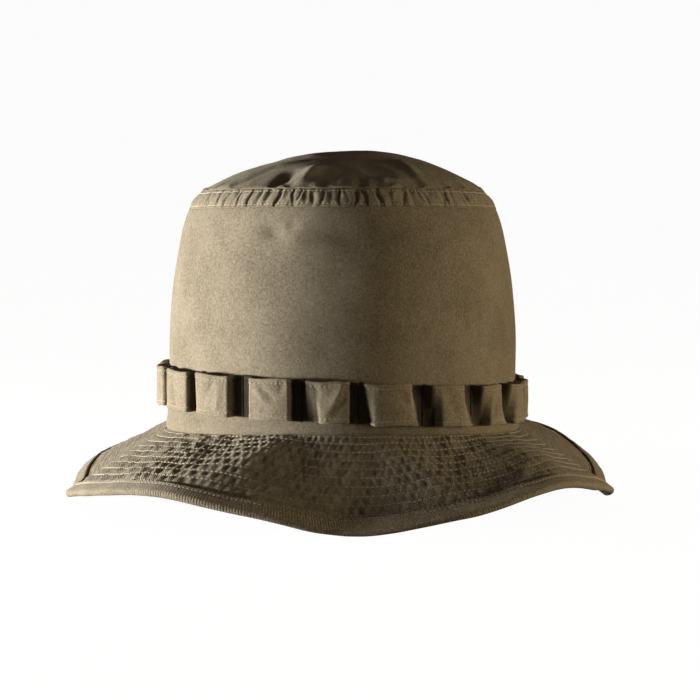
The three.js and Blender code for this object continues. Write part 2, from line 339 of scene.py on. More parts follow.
def bent_grid(name: str, across: int, up: int, place: Place, cut: tuple[float, float]) -> bpy.types.Mesh:
    """A grid of cloth, bent to its place, with the edges that meet there sewn into one.

    Args:
        name: the mesh's name.
        across: cells from side to side.
        up: cells from foot to top.
        place: gives each grid place, from 0 to 1 both ways, its point in millimetres and its relief.
        cut: the flat size of the cloth in metres, for the weave.

    Returns:
        The mesh, in metres, with the cloth's UV map and its relief attribute.
    """
    mesh = bpy.data.meshes.new(name)
    with reworked(mesh) as bm:
        bm.loops.layers.uv.new(CLOTH_UV)
        bmesh.ops.create_grid(bm, x_segments=across, y_segments=up, size=0.5, calc_uvs=True)
    flat = mesh_points(mesh)
    points, relief = place(flat[:, 0] + 0.5, flat[:, 1] + 0.5)
    mesh.vertices.foreach_set("co", (points * MM).astype(np.float32).ravel())
    layer = mesh.attributes.new(RELIEF, "FLOAT", "POINT")
    layer.data.foreach_set("value", np.broadcast_to(relief, len(flat)).astype(np.float32))
    weave = mesh.uv_layers[CLOTH_UV].data
    corners = np.empty(len(weave) * 2, np.float32)
    weave.foreach_get("uv", corners)
    weave.foreach_set("uv", (corners.reshape(-1, 2) * cut).astype(np.float32).ravel())
    mesh.polygons.foreach_set("use_smooth", np.ones(len(mesh.polygons), bool))
    with reworked(mesh) as bm:
        bmesh.ops.remove_doubles(bm, verts=bm.verts, dist=SEWN_GAP)
    return mesh


def joined(name: str, meshes: list[bpy.types.Mesh]) -> bpy.types.Mesh:
    """One mesh from several, which are used up."""
    out = bpy.data.meshes.new(name)
    with reworked(out) as bm:
        for mesh in meshes:
            bm.from_mesh(mesh)
            bpy.data.meshes.remove(mesh)
    return out


@dataclass(frozen=True)
class Thread:
    """A sewn thread: how thick it is, how long each stitch, and how far it stands out of the cloth."""

    radius: float = 0.27
    stitch: float = 2.2
    proud: float = 0.2
    sunk: float = 0.42
    # Where it goes into the cloth it is thinner, and each stitch's two shoulders stand a little nearer there
    waist: float = 0.55
    shoulder: float = 0.03

    def line(self, path: Array, normals: Array, closed: bool) -> bpy.types.Mesh:
        """A thread that follows a path on the cloth, over it and then into it at each stitch.

        Args:
            path: points on the cloth's face, in order.
            normals: the face's unit normals at those points.
            closed: whether the path comes back to its start.

        Returns:
            The thread's mesh.
        """
        steps = np.linalg.norm(np.diff(path, axis=0), axis=1)
        length = np.concatenate([[0], np.cumsum(steps)])
        count = max(2, round(length[-1] / self.stitch))
        stations = 4 * count

        def along(rows: Array, at: Array) -> Array:
            """The path's points or normals at these lengths."""
            return np.stack([np.interp(at, length, rows[:, k]) for k in range(3)], -1)

        def place(u: Array, v: Array) -> tuple[Array, Array]:
            """A point on the thread's round skin."""
            phase = np.rint(u * stations).astype(int) % 4
            shift = np.choose(phase, [0.0, -self.shoulder, 0.0, self.shoulder])
            at = np.clip(u + shift / count, 0, 1) * length[-1]
            normal = along(normals, at)
            side = np.cross(along(path, at + 0.3) - along(path, at - 0.3), normal)
            side /= np.maximum(np.linalg.norm(side, axis=1, keepdims=True), 1e-9)
            height = np.where(phase == 0, -self.sunk, self.proud)
            thick = np.where(phase == 0, self.waist, 1.0) * self.radius
            round_it = 2 * np.pi * v
            skin = side * (np.cos(round_it) * thick)[:, None] + normal * (np.sin(round_it) * thick)[:, None]
            return along(path, at) + normal * height[:, None] + skin, np.zeros(len(u))

        mesh = bent_grid("thread", stations, 4, place, (length[-1] * MM, 2 * self.radius * MM))
        if not closed:
            with reworked(mesh) as bm:
                bmesh.ops.holes_fill(bm, edges=bm.edges, sides=4)
        return mesh


class Cloth(ABC):
    """A piece of cloth: a closed thin wall with a face on each side of a sheet.

    A place on it is a turn, or a run along a strip, and a share from 0 at its foot to 1 at its top.
    """

    thickness: float
    rows: int
    span: tuple[float, float] = (-180.0, 180.0)
    # The normals look this far to each side, along and up, but not past the ends
    steps: tuple[float, float] = (0.4, 0.004)
    ends: tuple[float, float] = (-math.inf, math.inf)

    @abstractmethod
    def sheet(self, turn: Array, share: Array) -> Array:
        """The middle of the cloth."""

    @abstractmethod
    def lift(self, turn: Array, share: Array) -> Array:
        """How far the cloth stands off its sheet."""

    def half(self, turn: Array, share: Array) -> Array:
        """Half of the cloth's thickness."""
        return self.thickness / 2 + 0 * share

    @property
    def cells_up(self) -> int:
        """Cells up the outer face and down the inner one, with one across each edge."""
        return 2 * self.rows + 2

    def facing(self, turn: Array, share: Array) -> Array:
        """The unit normals: outwards where share rises up a wall, downwards where it runs out."""
        aside, step = self.steps
        up = self.sheet(turn, np.clip(share + step, 0, 1)) - self.sheet(turn, np.clip(share - step, 0, 1))
        ahead, behind = np.clip(turn + aside, *self.ends), np.clip(turn - aside, *self.ends)
        normal = np.cross(self.sheet(ahead, share) - self.sheet(behind, share), up)
        return normal / np.linalg.norm(normal, axis=-1, keepdims=True)

    def face(self, turn: Array, share: Array) -> tuple[Array, Array]:
        """Points on the outer face, and the unit normals there."""
        normal = self.facing(turn, share)
        offset = self.lift(turn, share) + self.half(turn, share)
        return self.sheet(turn, share) + normal * offset[:, None], normal

    def place(self, u: Array, v: Array) -> tuple[Array, Array]:
        """A point on the outer face and then back on the inner one, with its relief."""
        cell = np.rint(v * self.cells_up).astype(int) % self.cells_up
        outer = cell <= self.rows
        side = np.where(outer, 1, -1)
        share = np.where(outer, cell, self.cells_up - 1 - cell) / self.rows
        turn = self.span[0] + (self.span[1] - self.span[0]) * u
        raised = self.lift(turn, share)
        offset = raised + side * self.half(turn, share)
        return self.sheet(turn, share) + self.facing(turn, share) * offset[:, None], side * raised


class RingCloth(Cloth):
    """A piece of cloth that runs all the way round the hat."""

    stations: int

    def mesh(self, name: str) -> bpy.types.Mesh:
        """Its mesh."""
        front = np.array([0.0])
        height = np.linalg.norm(self.sheet(front, front + 1) - self.sheet(front, front))
        return bent_grid(name, self.stations, self.cells_up, self.place, (FORM.girth * MM, 2 * height * MM))

    def stitched(
        self, name: str, sewn: Thread, shares: Iterable[float], finish: bpy.types.Material
    ) -> bpy.types.Object:
        """Rows of stitches round its outer face, in one piece.

        Args:
            name: the piece's name.
            sewn: the thread.
            shares: how far up the cloth each row lies.
            finish: the thread's finish.

        Returns:
            The piece's object.
        """
        turn = np.linspace(-180, 180, 1441)
        rows = [sewn.line(*self.face(turn, np.full_like(turn, share)), closed=True) for share in shares]
        return put(joined(name, rows), finish)


# ---------------------------------------------------------------- shader sums and finishes


class Value:
    """A shader socket that takes part in sums; each sum adds a Math node."""

    def __init__(self, finish: "NodeSheet", socket: bpy.types.NodeSocket | None) -> None:
        """Keeps the socket and the node sheet that it belongs to."""
        self.finish, self.socket = finish, socket

    def _sum(self, kind: str, *terms: "Value | float") -> "Value":
        """A Math node of one kind on these terms."""
        return self.finish.node("ShaderNodeMath", dict(enumerate(terms)), {"operation": kind})

    def __add__(self, other: "Value | float") -> "Value":
        """This plus other."""
        return self._sum("ADD", self, other)

    __radd__ = __add__

    def __mul__(self, other: "Value | float") -> "Value":
        """This times other."""
        return self._sum("MULTIPLY", self, other)

    def __sub__(self, other: "Value | float") -> "Value":
        """This minus other."""
        return self._sum("SUBTRACT", self, other)

    def sine(self) -> "Value":
        """The sine of this."""
        return self._sum("SINE", self)

    def limited(self) -> "Value":
        """This, kept from 0 to 1."""
        return self._sum("MINIMUM", self._sum("MAXIMUM", self, 0.0), 1.0)


class NodeSheet:
    """The node tree of one material or world, with one method that adds any node."""

    def __init__(self, owner: bpy.types.Material | bpy.types.World) -> None:
        """Empties the owner's tree."""
        owner.use_nodes = True
        self.owner, self.tree = owner, owner.node_tree
        self.tree.nodes.clear()

    def node(
        self, kind: str, sockets: dict | None = None, settings: dict | None = None, out: int | str = 0
    ) -> Value:
        """Adds a node.

        Args:
            kind: the node's type.
            sockets: a value or a linked Value for each input, by name or place.
            settings: its own settings, set first.
            out: the output that is returned, by name or place.

        Returns:
            The chosen output, wrapped.
        """
        node = self.tree.nodes.new(kind)
        for key, value in (settings or {}).items():
            setattr(node, key, value)
        for key, value in (sockets or {}).items():
            if isinstance(value, Value):
                self.tree.links.new(value.socket, node.inputs[key])
            else:
                node.inputs[key].default_value = value
        return Value(self, node.outputs[out] if node.outputs else None)

    def mixed(self, share: Value, low: Colour | Value, high: Colour | Value) -> Value:
        """A colour between two, by share."""
        ends = [colour if isinstance(colour, Value) else colour + (1,) for colour in (low, high)]
        sockets = {0: share, 6: ends[0], 7: ends[1]}
        return self.node("ShaderNodeMix", sockets, {"data_type": "RGBA"}, out=2)

    def noise(self, where: Value, scale: float, detail: float = 3.0, rough: float = 0.5) -> Value:
        """Soft noise from 0 to 1 on the piece."""
        sockets = {"Vector": where, "Scale": scale, "Detail": detail, "Roughness": rough}
        return self.node("ShaderNodeTexNoise", sockets)

    def bumped(self, height: Value, strength: float, distance: float) -> Value:
        """The normals of a surface with small heights, which are distance metres at most."""
        return self.node("ShaderNodeBump", {"Strength": strength, "Distance": distance, "Height": height})

    def skinned(self, sockets: dict) -> bpy.types.Material:
        """Ends the tree in one plain skin with these sockets, and gives the material."""
        skin = self.node("ShaderNodeBsdfPrincipled", sockets)
        self.node("ShaderNodeOutputMaterial", {0: skin})
        return self.owner


@dataclass(frozen=True)
class CottonFinish:
    """Washed cotton twill: its two tones, the wear and painted highlight on its ridges, the painted shade in
    its creases and hollows, and the weave and grain in its surface.
    """

    name: str
    light: Colour = (0.41, 0.332, 0.225)
    dark: Colour = (0.195, 0.148, 0.09)
    # The colour on the relief's ridges: partly wear, partly a painted highlight
    worn_and_highlight: Colour = (0.47, 0.39, 0.28)
    # Painted shade: the colour mixed into creases, hollows and the pinches along stitches
    shade: Colour = (0.12, 0.088, 0.052)
    # How strongly the relief paints highlight on ridges and shade in creases
    relief_gain: float = 0.45
    grain: float = 0.35
    weave: float = 0.25
    sheen: float = 0.12
    # Cells in a metre of the faded areas, the patches, the flecks, the fuzz and the two twill lines
    cells: tuple[float, float, float, float] = (26.0, 140.0, 900.0, 1900.0)
    twill_lines: tuple[float, float] = (7200.0, 10400.0)

    def build(self) -> bpy.types.Material:
        """Makes the material."""
        sheet = NodeSheet(bpy.data.materials.new(self.name))
        where = sheet.node("ShaderNodeTexCoord", out="Object")
        cloth = sheet.node("ShaderNodeUVMap", settings={"uv_map": CLOTH_UV})
        relief = sheet.node("ShaderNodeAttribute", settings={"attribute_name": RELIEF}, out="Fac")
        along, up = (sheet.node("ShaderNodeSeparateXYZ", {0: cloth}, out=k) for k in range(2))
        detail = ((4.0, 0.55), (4.0, 0.6), (3.0, 0.7), (2.0, 0.6))
        broad, patch, fleck, fuzz = (sheet.noise(where, size, *how) for size, how in zip(self.cells, detail))
        tone = (broad + patch * 0.6 + fleck * 2.6 - 1.6).limited()
        base = sheet.mixed(tone, self.dark, self.light)
        # Ridges of the relief turn lighter: partly wear, partly a painted highlight that makes the puckers
        # read
        ridge = (relief * self.relief_gain).limited()
        # Painted shade: the relief's lows, its creases and hollows, are darkened towards the shade colour
        valley = (relief * (-1.4 * self.relief_gain) - 0.12).limited()
        base = sheet.mixed(ridge * (0.35 + patch * 0.6), base, self.worn_and_highlight)
        base = sheet.mixed(valley * 0.85, base, self.shade)
        fine, coarse = self.twill_lines
        twill = ((along + up) * fine).sine() * 0.5 + ((along - up * 0.4) * coarse).sine() * 0.25
        height = twill * self.weave + fleck * self.grain * 2.0 + fuzz * self.grain + patch * 0.8
        return sheet.skinned(
            {
                "Base Color": base,
                "Roughness": 0.84 + fleck * 0.14,
                "Normal": sheet.bumped(height, 0.95, 0.0008),
                "Sheen Weight": self.sheen,
                "Sheen Roughness": 0.5,
                "Specular IOR Level": 0.18,
            }
        )


@dataclass(frozen=True)
class ThreadFinish:
    """Cotton thread: pale, with a little fuzz and unevenness."""

    name: str
    light: Colour = (0.57, 0.485, 0.36)
    dark: Colour = (0.38, 0.31, 0.21)

    def build(self) -> bpy.types.Material:
        """Makes the material."""
        sheet = NodeSheet(bpy.data.materials.new(self.name))
        where = sheet.node("ShaderNodeTexCoord", out="Object")
        fade, fuzz = sheet.noise(where, 90.0), sheet.noise(where, 2600.0, 2.0)
        return sheet.skinned(
            {
                "Base Color": sheet.mixed((fade * 1.6 - 0.3).limited(), self.dark, self.light),
                "Roughness": 0.7 + fuzz * 0.2,
                "Normal": sheet.bumped(fuzz, 0.4, 0.0002),
                "Sheen Weight": 0.1,
            }
        )


# The finishes: the band and the brim are a little darker than the crown, and the strap is lighter
CROWN_COTTON = CottonFinish("crown_cotton", relief_gain=0.12)
GATHERED_COTTON = CottonFinish("gathered_cotton", relief_gain=0.75)
STRAP_COTTON = CottonFinish(
    "strap_cotton",
    light=(0.46, 0.372, 0.25),
    dark=(0.225, 0.17, 0.104),
    # A nearly black shade: the painted shade in the deep hollows between the loops
    shade=(0.035, 0.025, 0.014),
    relief_gain=0.5,
)
BRIM_COTTON = CottonFinish(
    "brim_cotton", light=(0.355, 0.286, 0.192), dark=(0.168, 0.127, 0.077), relief_gain=0.5
)
BAND_COTTON = CottonFinish(
    "band_cotton", light=(0.35, 0.28, 0.186), dark=(0.165, 0.125, 0.075), relief_gain=0.2
)
BINDING_COTTON = CottonFinish("binding_cotton", relief_gain=0.6)
SEWING_THREAD = ThreadFinish("sewing_thread")


# ---------------------------------------------------------------- putting a piece in the scene


def put(
    mesh: bpy.types.Mesh, finish: bpy.types.Material, nodes: tuple[str, ...] = ()
) -> bpy.types.Object:
    """Puts a finished mesh in the scene.

    Args:
        mesh: the piece's mesh, in its place.
        finish: its material.
        nodes: the CAD nodes that it stands for.

    Returns:
        The piece's object, which rides on the hat's one body.
    """
    mesh.materials.clear()
    mesh.materials.append(finish)
    piece = bpy.data.objects.new(mesh.name, mesh)
    bpy.context.scene.collection.objects.link(piece)
    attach(piece, BODY)
    if nodes:
        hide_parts(*nodes)
    triangles = sum(len(face.vertices) - 2 for face in mesh.polygons)
    LOG.info("%s: %d triangles", piece.name, triangles)
    return piece


# ---------------------------------------------------------------- the crown


@dataclass
class CrownWall(RingCloth):
    """The tall side wall of the crown, smooth but for a few soft dents below the gathered strip."""

    thickness: float = 1.3
    stations: int = 300
    rows: int = 90
    foot: float = 0.001
    top: float = 0.996
    # How far it is drawn in under the gathered strip, and how sharply
    drawn_in: float = 1.6
    sharpness: float = 900.0
    ripples: tuple[Ripple, ...] = (Ripple(0.42, 36, 44), Ripple(0.13, 13, 17, start=9))
    noise: ClothNoise = field(default_factory=lambda: ClothNoise(11))
    # Soft dents: turn, height, half-width, half-height and depth
    dents: tuple[tuple[float, float, float, float, float], ...] = (
        (-23.5, 141.0, 6.4, 3.8, 1.9),
        (-17.0, 144.5, 3.4, 3.0, 0.8),
        (-16.0, 138.0, 8.0, 6.0, -0.5),
        (-1.0, 140.0, 11.0, 4.6, 0.9),
        (4.0, 137.0, 12.0, 8.0, 0.5),
        (16.0, 141.0, 12.0, 5.0, 0.7),
        (-43.0, 142.0, 9.0, 8.0, 0.8),
        (33.0, 128.0, 18.0, 20.0, 0.7),
        (-2.0, 100.0, 22.0, 26.0, 0.7),
        (58.0, 120.0, 14.0, 22.0, 0.6),
        (150.0, 120.0, 20.0, 16.0, 1.0),
        (-140.0, 118.0, 18.0, 20.0, 0.9),
        (-95.0, 126.0, 16.0, 14.0, 0.8),
        (105.0, 130.0, 14.0, 12.0, 0.9),
    )

    def sheet(self, turn: Array, share: Array) -> Array:
        """The middle of the wall's cloth, drawn in where it runs up under the gathered strip."""
        level = self.foot + share * (self.top - self.foot)
        under = 1.0 / (1 + np.exp(-(level - FORM.strip_foot - 0.002) * self.sharpness))
        return FORM.wall(turn, level, -self.thickness / 2 - self.drawn_in * under)

    def lift(self, turn: Array, share: Array) -> Array:
        """The soft unevenness of the wall."""
        along = FORM.along(turn)
        z = FORM.seam(turn) + share * FORM.wall_height
        soft = sum(ripple.at(self.noise, along / FORM.girth, z) for ripple in self.ripples)
        for place, height, wide, tall, depth in self.dents:
            gap = FORM.gap(along, FORM.along(place))
            soft = soft - depth * np.exp(-((gap / wide) ** 2) - ((z - height) / tall) ** 2)
        return soft * np.clip((1 - share) * 18, 0, 1) * np.clip(share * 10, 0, 1)

    def build(self, cotton: bpy.types.Material) -> None:
        """Makes the wall."""
        piece = put(self.mesh("crown_side_wall"), cotton, ("crown_side",))
        flat = (FORM.girth * MM, FORM.wall_height * MM)


@dataclass
class GatheredStrip(RingCloth):
    """The strip over the crown's top seam, drawn up in small gathers between its two rows of stitches."""

    thickness: float = 0.9
    stations: int = 1260
    rows: int = 16
    stitch_rows: tuple[float, float] = (0.13, 0.87)
    foot_above_seam: float = 0.004
    top: float = 0.9965
    puff: float = 0.55
    pinch: float = 0.35
    small: Ripple = Ripple(0.3, 3.1, 3.2)
    noise: ClothNoise = field(default_factory=lambda: ClothNoise(23))
    depth: KnotCurve = KnotCurve(
        ((-180, 0.7), (-80, 0.6), (-60, 0.75), (-45, 1.0), (-36, 1.35), (-28, 1.2), (-15, 0.9), (0, 0.75),
         (14, 1.0), (25, 0.8), (45, 0.7), (70, 0.5), (120, 0.7)),
        period=360.0,
    )  # fmt: skip

    def __post_init__(self) -> None:
        """Draws the gathers' places, widths, depths and slants."""
        draw = np.random.default_rng(5)
        self.gathers: list[tuple[float, float, float, float]] = []
        at = 0.0
        while at < FORM.girth - 3:
            wide, deep, slant = (draw.uniform(*ends) for ends in ((0.7, 1.8), (0.3, 1.3), (-3.4, 3.4)))
            self.gathers.append((at, wide, deep, slant))
            at += draw.uniform(3.0, 9.4)

    def sheet(self, turn: Array, share: Array) -> Array:
        """The middle of the strip's cloth."""
        low = FORM.strip_foot + self.foot_above_seam
        return FORM.wall(turn, low + share * (self.top - low), 0.05 - self.thickness / 2)

    def lift(self, turn: Array, share: Array) -> Array:
        """The gathers: narrow valleys between small puffs, held down along both rows of stitches."""
        along = FORM.along(turn) + FORM.girth / 2
        height = (share - 0.5) * FORM.strip_height
        between = np.clip(1 - (np.abs(share - 0.5) / 0.5) ** 2.6, 0, 1)
        valley = 0 * along
        for at, wide, deep, slant in self.gathers:
            gap = FORM.gap(along - at, slant * (share - 0.5))
            bend = 0.5 * np.sin(height * 0.7 + at)
            valley = valley + np.where(np.abs(gap) < 5, deep * bump_at(gap + bend, wide), 0)
        small = self.small.at(self.noise, along / FORM.girth, height)
        pinch = sum(bump_at((share - row) * FORM.strip_height, 0.6) for row in self.stitch_rows)
        puff = self.puff * between - self.pinch * pinch
        return puff + (small - valley * self.depth.at(turn)) * (0.35 + 0.65 * between)

    def build(self, cotton: bpy.types.Material, thread: bpy.types.Material) -> None:
        """Makes the strip and its two rows of stitches."""
        piece = put(self.mesh("gathered_strip"), cotton, ("crown_seam_strip",))
        seam = self.stitched("strip_stitches", Thread(stitch=2.1), self.stitch_rows, thread)
        flat = (FORM.girth * 0.96 * MM, 12 * MM)


@dataclass
class TopPanel:
    """The domed top panel, with the folds and puckers that washing left in it."""

    height: float = 21.0
    power: float = 2.1
    shift: float = 6.5
    thickness: float = 1.2
    cells: int = 172
    seam_allowance: float = 7.0
    puckers: Ripple = Ripple(1.5, 5.6, 9)
    noise: ClothNoise = field(default_factory=lambda: ClothNoise(37))
    folds: tuple[Fold, ...] = (
        Fold((29, -36), (40, -66), 3.4, 1.5),
        Fold((43, -30), (66, -34), 3.6, 1.3),
        Fold((-58, -46), (-22, -40), 3.4, 1.7),
        Fold((-50, -52), (-34, -47), 2.4, -0.8),
        Fold((-64, -36), (-40, -33), 2.6, -0.6),
        Fold((-31, -71), (-26, -60), 3.8, -3.2),
        Fold((-18, -73), (-13, -58), 4.4, 2.4),
        Fold((8, -60), (20, -50), 13.0, -1.9),
        Fold((-4, -42), (26, -30), 12.0, -1.4),
        Fold((14, -74), (30, -68), 3.0, 0.9),
        Fold((52, -58), (58, -46), 4.0, -1.0),
        Fold((-60, 10), (-28, 26), 7.0, 1.2),
        Fold((-10, 52), (16, 40), 8.0, -1.4),
        Fold((30, 30), (56, 22), 6.0, 1.1),
        Fold((-36, 58), (-20, 66), 4.0, 1.0),
        Fold((-8, 8), (30, 16), 10.0, -0.9),
    )

    def place(self, u: Array, v: Array) -> tuple[Array, Array]:
        """A place on a square grid, drawn out to the panel's oval."""
        a, b = 2 * u - 1, 2 * v - 1
        ex, ey = a * np.sqrt(1 - b * b / 2), b * np.sqrt(1 - a * a / 2)
        share = np.clip(np.hypot(ex, ey), 0, 1)
        turn = np.degrees(np.arctan2(ex, -ey))
        cx, cy = FORM.axis
        rim = FORM.oval(turn, -FORM.lean_in.at(np.ones_like(turn)), 0)
        x = (rim[:, 0] - cx) * share + self.shift * (1 - share)
        y = (rim[:, 1] - cy) * share
        raised = self.lift(x, y, turn, share)
        z = FORM.seam_height + FORM.wall_height + 0.3 + self.height * (1 - share**self.power) + raised
        return np.stack([x + cx, y + cy, z], -1), raised * 0.8

    def lift(self, x: Array, y: Array, turn: Array, share: Array) -> Array:
        """The folds, and the puckers that the seam draws along the rim."""
        folds = sum(fold.at(x, y) for fold in self.folds)
        soft = 0.5 * self.noise.at(x / 19 + 20, y / 19 + 20) + 0.16 * self.noise.at(x / 7 + 40, y / 7 + 40)
        inward = (1 - share) * 80
        drawn = self.puckers.at(self.noise, FORM.along(turn) / FORM.girth, inward) * np.exp(-inward / 5.0)
        return (folds + soft) * np.clip(inward / 3.5, 0, 1) + drawn * np.clip(inward / 1.2, 0, 1)

    def build(self, cotton: bpy.types.Material) -> None:
        """Makes the panel."""
        mesh = bent_grid("crown_top_panel", self.cells, self.cells, self.place, (0.16, 0.18))
        with reworked(mesh) as bm:
            bmesh.ops.solidify(bm, geom=list(bm.faces), thickness=self.thickness * MM)
            for face in bm.faces:
                face.smooth = True
            # The rim's faces come in a chance order, so all are put in the order of their places
            bm.verts.sort(key=lambda vert: vert.co.dot(SORTING))
            bm.faces.sort(key=lambda face: face.calc_center_median().dot(SORTING))
        piece = put(mesh, cotton, ("crown_top",))


# ---------------------------------------------------------------- the band and its strap of loops


@dataclass
class HatBand(RingCloth):
    """The band round the crown's foot, its lower edge rolled over the brim's seam."""

    thickness: float = 1.1
    swell: float = 0.7
    height: float = 27.0
    above_strap_middle: float = 9.3
    clearance: float = 0.3
    stations: int = 540
    rows: int = 34
    ripple: Ripple = Ripple(0.16, 17, 9)
    noise: ClothNoise = field(default_factory=lambda: ClothNoise(41))

    def sheet(self, turn: Array, share: Array) -> Array:
        """The middle of the band's cloth."""
        low = FORM.seam(turn) - 0.1
        high = FORM.strap_middle(turn) + self.above_strap_middle
        return FORM.oval(turn, self.clearance + self.thickness / 2, low + (high - low) * share)

    def lift(self, turn: Array, share: Array) -> Array:
        """The rolled foot and a little unevenness."""
        up = share * self.height
        soft = self.ripple.at(self.noise, FORM.along(turn) / FORM.girth, up)
        return soft + self.swell * bump_at(up - 2.2, 2.6)

    def half(self, turn: Array, share: Array) -> Array:
        """Half of the cloth's thickness, rounded at its folded edges."""
        return self.thickness / 2 * rounded(share, self.height, 0.9, 0.12)

    def build(self, cotton: bpy.types.Material) -> None:
        """Makes the band."""
        piece = put(self.mesh("base_band"), cotton, ("hat_band",))
        flat = ((FORM.girth + 8) * MM, 28 * MM)


@dataclass(frozen=True)
class LoopShape:
    """One loop of the strap: its left and right sides in turns at the top and foot, and its creases."""

    top: tuple[float, float]
    foot: tuple[float, float]
    creases: tuple[Fold, ...] = ()
    belly: float = 0.5
    room: float = 0.0

    @property
    def middle(self) -> float:
        """The turn of its top's middle."""
        return (self.top[0] + self.top[1]) / 2

    @property
    def mean(self) -> float:
        """The mean turn of its four sides."""
        return (sum(self.top) + sum(self.foot)) / 4

    @property
    def pace(self) -> float:
        """Millimetres in a degree along its front, which stands a little outside the oval."""
        return float(FORM.along(self.middle + 0.5) - FORM.along(self.middle - 0.5)) * 1.05

    @property
    def front(self) -> float:
        """The width of its front."""
        return (self.top[1] - self.top[0] + self.foot[1] - self.foot[0]) / 2 * self.pace


@dataclass
class LoopCloth(Cloth):
    """The strap's cloth over one loop, from tack to tack.

    Its foot and top are the strap's middle line at both edges: rows of turn, stand-off and length.
    """

    shape: LoopShape
    foot: Array
    top: Array
    noise: ClothNoise
    thickness: float = 1.15
    rows: int = 20
    stitch_in: float = 2.3
    # How far the relief is sunk between loops, which paints shade into those hollows
    painted_hollow_shade: float = 1.7
    span: tuple[float, float] = (0.0, 1.0)
    steps: tuple[float, float] = (0.004, 0.01)
    ends: tuple[float, float] = (0.0, 1.0)

    @property
    def length(self) -> float:
        """The strap's length along the loop."""
        return float(self.top[-1, 2])

    @property
    def seed(self) -> float:
        """What makes this loop's unevenness its own."""
        return self.shape.middle * 0.37

    def _level(self, column: int, run: Array, share: Array) -> Array:
        """Turn or stand-off, between the foot's and the top's."""
        at = np.linspace(0, 1, len(self.top))
        low, high = np.interp(run, at, self.foot[:, column]), np.interp(run, at, self.top[:, column])
        return low + (high - low) * share

    def sheet(self, run: Array, share: Array) -> Array:
        """The middle of the strap's cloth; run goes from 0 to 1 along it."""
        turn = self._level(0, run, share)
        sway = 0.35 * np.sin(run * 9 + self.seed * 3)
        z = FORM.strap_middle(turn) + (share - 0.5) * FORM.strap_height + sway
        return FORM.oval(turn, self._level(1, run, share), z)

    def lift(self, run: Array, share: Array) -> Array:
        """The creases on the front, and where the stitches hold both edges down."""
        x = (run - 0.5) * self.length
        y = (share - 0.5) * FORM.strap_height
        front = np.clip((9.5 - np.abs(x)) / 3, 0, 1)
        folds = sum((fold.at(x, y) for fold in self.shape.creases), 0 * x)
        soft = 0.16 * self.noise.at(x / 5 + self.seed * 7, y / 5 + 9)
        edge = FORM.strap_height / 2 - np.abs(y)
        held = -0.28 * bump_at(edge - self.stitch_in, 0.8) + 0.16 * bump_at(edge - 0.9, 0.8)
        return folds * front + soft + held

    def half(self, run: Array, share: Array) -> Array:
        """Half of the thickness, rounded at both folded edges and thicker inside the stitches' hem."""
        edge = np.minimum(share, 1 - share) * FORM.strap_height
        hem = 0.12 * bump_at(edge - 1.2, 1.0)
        return (self.thickness / 2 + hem) * rounded(share, FORM.strap_height, 0.7, 0.08)

    def place(self, u: Array, v: Array) -> tuple[Array, Array]:
        """A point, and its relief, which is sunk where the strap lies back against the band so that the
        hollows between loops get painted shade.
        """
        points, relief = super().place(u, v)
        # Painted shade: past the front's corners the relief is sunk, so the walls and tacks between loops
        # are darkened
        back = np.clip((np.abs(u - 0.5) * self.length - self.shape.front / 2 + 0.8) / 2.5, 0, 1)
        return points, relief - self.painted_hollow_shade * back

    def stitch_lines(self, sewn: Thread) -> list[bpy.types.Mesh]:
        """The stitches along both edges of the loop's front."""
        reach = (self.shape.front / 2 + 0.6) / self.length
        run = np.linspace(0.5 - reach, 0.5 + reach, 161)
        shares = (self.stitch_in / FORM.strap_height, 1 - self.stitch_in / FORM.strap_height)
        return [sewn.line(*self.face(run, np.full_like(run, share)), closed=False) for share in shares]


